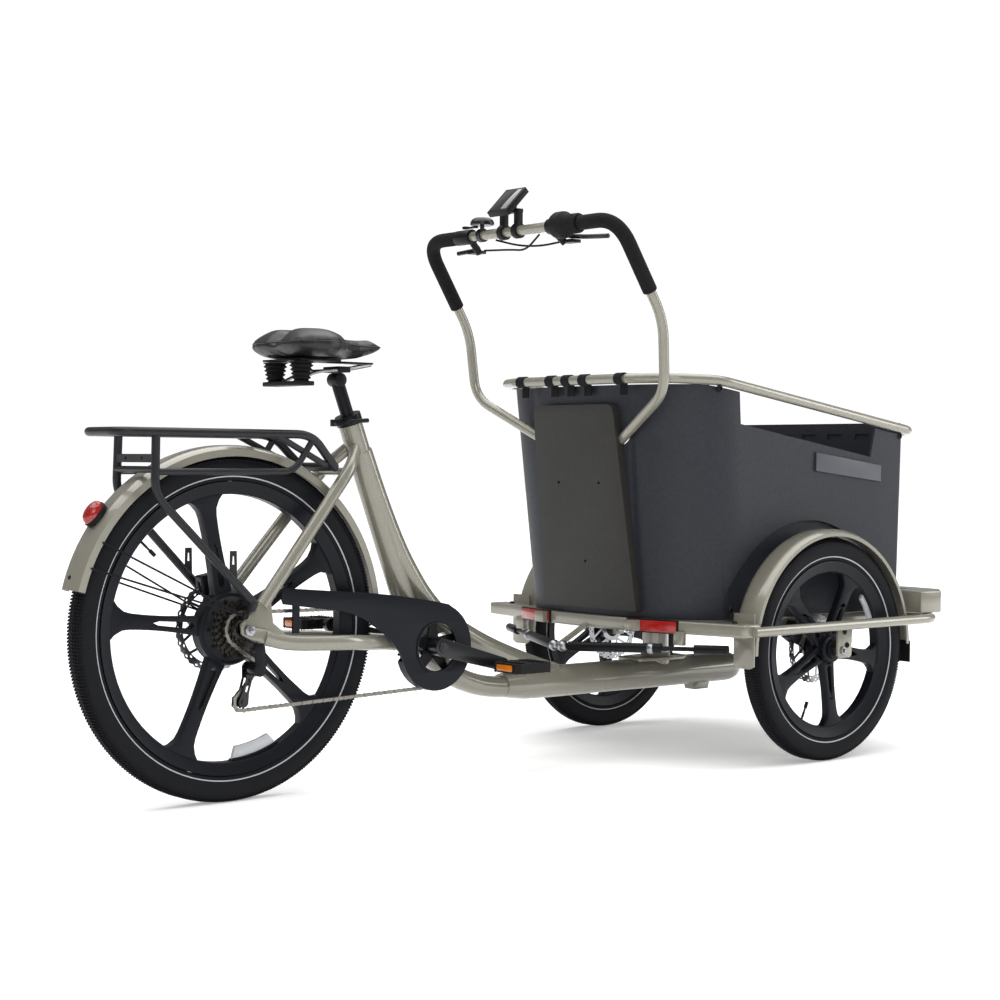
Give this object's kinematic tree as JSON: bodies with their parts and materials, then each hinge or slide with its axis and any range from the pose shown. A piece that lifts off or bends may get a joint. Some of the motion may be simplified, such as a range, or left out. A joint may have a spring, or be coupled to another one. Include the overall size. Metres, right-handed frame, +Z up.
{
  "type": "cargo tricycle",
  "caption": "Front-loading cargo tricycle with a moulded box on a steered platform between two front wheels and one driven rear wheel.",
  "frame": {"origin": "on the ground under the middle of the tricycle's length and width", "axes": "+X to the front, +Y to the rider's left, +Z up"},
  "size_m": [2.0948, 0.872, 1.2649],
  "materials": {
    "greige_paint": "glossy",
    "black_metal": "satin",
    "bare_steel": "brushed",
    "tyre_rubber": "matte",
    "cast_wheel": "satin black powder coat",
    "box_moulding": "fine moulded grain",
    "grip_foam": "matte foam",
    "saddle_vinyl": "satin vinyl",
    "red_lens": "glossy",
    "black_plastic": "satin",
    "hose_sleeve": "satin"
  },
  "bodies": {
    "rear_frame": {"main_frame": "greige_paint", "steering_bearing": "bare_steel", "rear_axle": "bare_steel", "rear_fender": "greige_paint", "rear_rack": "black_metal", "tail_light": "red_lens", "chain_guard": "black_plastic", "derailleur": "black_metal", "chain": "bare_steel", "rear_caliper": "black_metal", "seat_clamp": "black_metal"},
    "seat_lever": {"seat_clamp_lever": "black_metal"},
    "seat": {"seat_post": "black_metal", "saddle_base": "black_plastic", "saddle_cushion": "saddle_vinyl"},
    "rear_wheel": {"rear_tyre": "tyre_rubber", "rear_rim": "cast_wheel", "rear_hub": "black_metal", "rear_rotor": "bare_steel"},
    "cassette": {"cassette": "bare_steel"},
    "crank": {"chainring": "black_metal", "crank_right": "black_metal", "crank_left": "black_metal"},
    "pedal_right": {"pedal_right": "black_plastic"},
    "pedal_left": {"pedal_left": "black_plastic"},
    "derailleur_cage": {"derailleur_cage": "black_metal"},
    "guide_pulley": {"guide_pulley": "black_plastic"},
    "tension_pulley": {"tension_pulley": "black_plastic"},
    "front": {"platform": "greige_paint", "front_block": "greige_paint", "fender_right": "greige_paint", "fender_left": "greige_paint", "caliper_right": "black_metal", "caliper_left": "black_metal", "platform_strut_right": "black_metal", "platform_strut_left": "black_metal", "handlebar": "greige_paint", "cargo_box": "box_moulding", "box_back_panel": "box_moulding", "box_rail": "greige_paint", "grip_right": "grip_foam", "grip_left": "grip_foam", "display_mount": "black_plastic", "brake_mount_right": "black_metal", "brake_mount_left": "black_metal", "bell": "black_metal", "brake_hose_right": "hose_sleeve", "brake_hose_left": "hose_sleeve"},
    "front_wheel_right": {"front_tyre_right": "tyre_rubber", "front_rim_right": "cast_wheel", "front_rotor_right": "bare_steel"},
    "front_wheel_left": {"front_tyre_left": "tyre_rubber", "front_rim_left": "cast_wheel", "front_rotor_left": "bare_steel"},
    "display": {"display": "black_plastic"},
    "brake_lever_right": {"brake_lever_right": "black_metal"},
    "brake_lever_left": {"brake_lever_left": "black_metal"},
    "twist_shifter": {"twist_shifter": "black_plastic"},
    "bell_lever": {"bell_lever": "black_metal"},
    "mode_button": {"mode_button": "black_plastic"}
  },
  "joints": [
    {"name": "steering", "type": "hinge", "parent": "rear_frame", "child": "front", "pos_m": [0.47, 0, 0.224], "axis": [0, 0, 1], "range_deg": [-30, 30]},
    {"name": "seat_height", "type": "slide", "parent": "rear_frame", "child": "seat", "axis": [-0.3573, 0, 0.934], "range_m": [-0.05, 0.08]},
    {"name": "seat_clamp_lever", "type": "hinge", "parent": "rear_frame", "child": "seat_lever", "pos_m": [-0.4476, 0, 0.7413], "axis": [0, 1, 0], "range_deg": [-120, 0]},
    {"name": "rear_wheel_spin", "type": "hinge", "parent": "rear_frame", "child": "rear_wheel", "pos_m": [-0.702, 0, 0.338], "axis": [0, 1, 0], "continuous": true},
    {"name": "crank_spin", "type": "hinge", "parent": "rear_frame", "child": "crank", "pos_m": [-0.234, 0, 0.28], "axis": [0, 1, 0], "continuous": true},
    {"name": "cassette_spin", "type": "hinge", "parent": "rear_frame", "child": "cassette", "pos_m": [-0.702, 0, 0.338], "axis": [0, 1, 0], "continuous": true},
    {"name": "pedal_right_spin", "type": "hinge", "parent": "crank", "child": "pedal_right", "pos_m": [-0.0698, -0.15, 0.236], "axis": [0, 1, 0], "continuous": true},
    {"name": "pedal_left_spin", "type": "hinge", "parent": "crank", "child": "pedal_left", "pos_m": [-0.3982, 0.15, 0.324], "axis": [0, 1, 0], "continuous": true},
    {"name": "derailleur_cage_swing", "type": "hinge", "parent": "rear_frame", "child": "derailleur_cage", "pos_m": [-0.68, -0.047, 0.262], "axis": [0, 1, 0], "range_deg": [-8, 8], "stiffness_Nm_per_rad": 4, "deforming": ["chain"]},
    {"name": "guide_pulley_spin", "type": "hinge", "parent": "derailleur_cage", "child": "guide_pulley", "pos_m": [-0.68, -0.047, 0.262], "axis": [0, 1, 0], "continuous": true},
    {"name": "tension_pulley_spin", "type": "hinge", "parent": "derailleur_cage", "child": "tension_pulley", "pos_m": [-0.698, -0.047, 0.198], "axis": [0, 1, 0], "continuous": true},
    {"name": "front_wheel_right_spin", "type": "hinge", "parent": "front", "child": "front_wheel_right", "pos_m": [0.643, -0.3635, 0.2505], "axis": [0, 1, 0], "continuous": true},
    {"name": "front_wheel_left_spin", "type": "hinge", "parent": "front", "child": "front_wheel_left", "pos_m": [0.643, 0.3635, 0.2505], "axis": [0, 1, 0], "continuous": true},
    {"name": "display_tilt", "type": "hinge", "parent": "front", "child": "display", "pos_m": [0.034, 0.019, 1.2225], "axis": [0, 1, 0], "range_deg": [-4, 20]},
    {"name": "brake_lever_right_pull", "type": "hinge", "parent": "front", "child": "brake_lever_right", "pos_m": [0.066, -0.134, 1.15], "axis": [0, 0, 1], "range_deg": [-15, 0], "stiffness_Nm_per_rad": 3},
    {"name": "brake_lever_left_pull", "type": "hinge", "parent": "front", "child": "brake_lever_left", "pos_m": [0.066, 0.174, 1.15], "axis": [0, 0, 1], "range_deg": [0, 15], "stiffness_Nm_per_rad": 3},
    {"name": "twist_shifter_turn", "type": "hinge", "parent": "front", "child": "twist_shifter", "pos_m": [0.034, -0.166, 1.169], "axis": [0, 1, 0], "range_deg": [-60, 60]},
    {"name": "bell_lever_flick", "type": "hinge", "parent": "front", "child": "bell_lever", "pos_m": [0.016, 0.118, 1.186], "axis": [0, 0, 1], "range_deg": [0, 20], "stiffness_Nm_per_rad": 0.05},
    {"name": "mode_button_press", "type": "slide", "parent": "front", "child": "mode_button", "axis": [0, 0, -1], "range_m": [0, 0.001], "stiffness_N_per_m": 400}
  ],
  "couplings": [
    {"joint": "cassette_spin", "follows": "crank_spin", "ratio": 2.625},
    {"joint": "guide_pulley_spin", "follows": "crank_spin", "ratio": -4.994},
    {"joint": "tension_pulley_spin", "follows": "crank_spin", "ratio": 4.994}
  ]
}
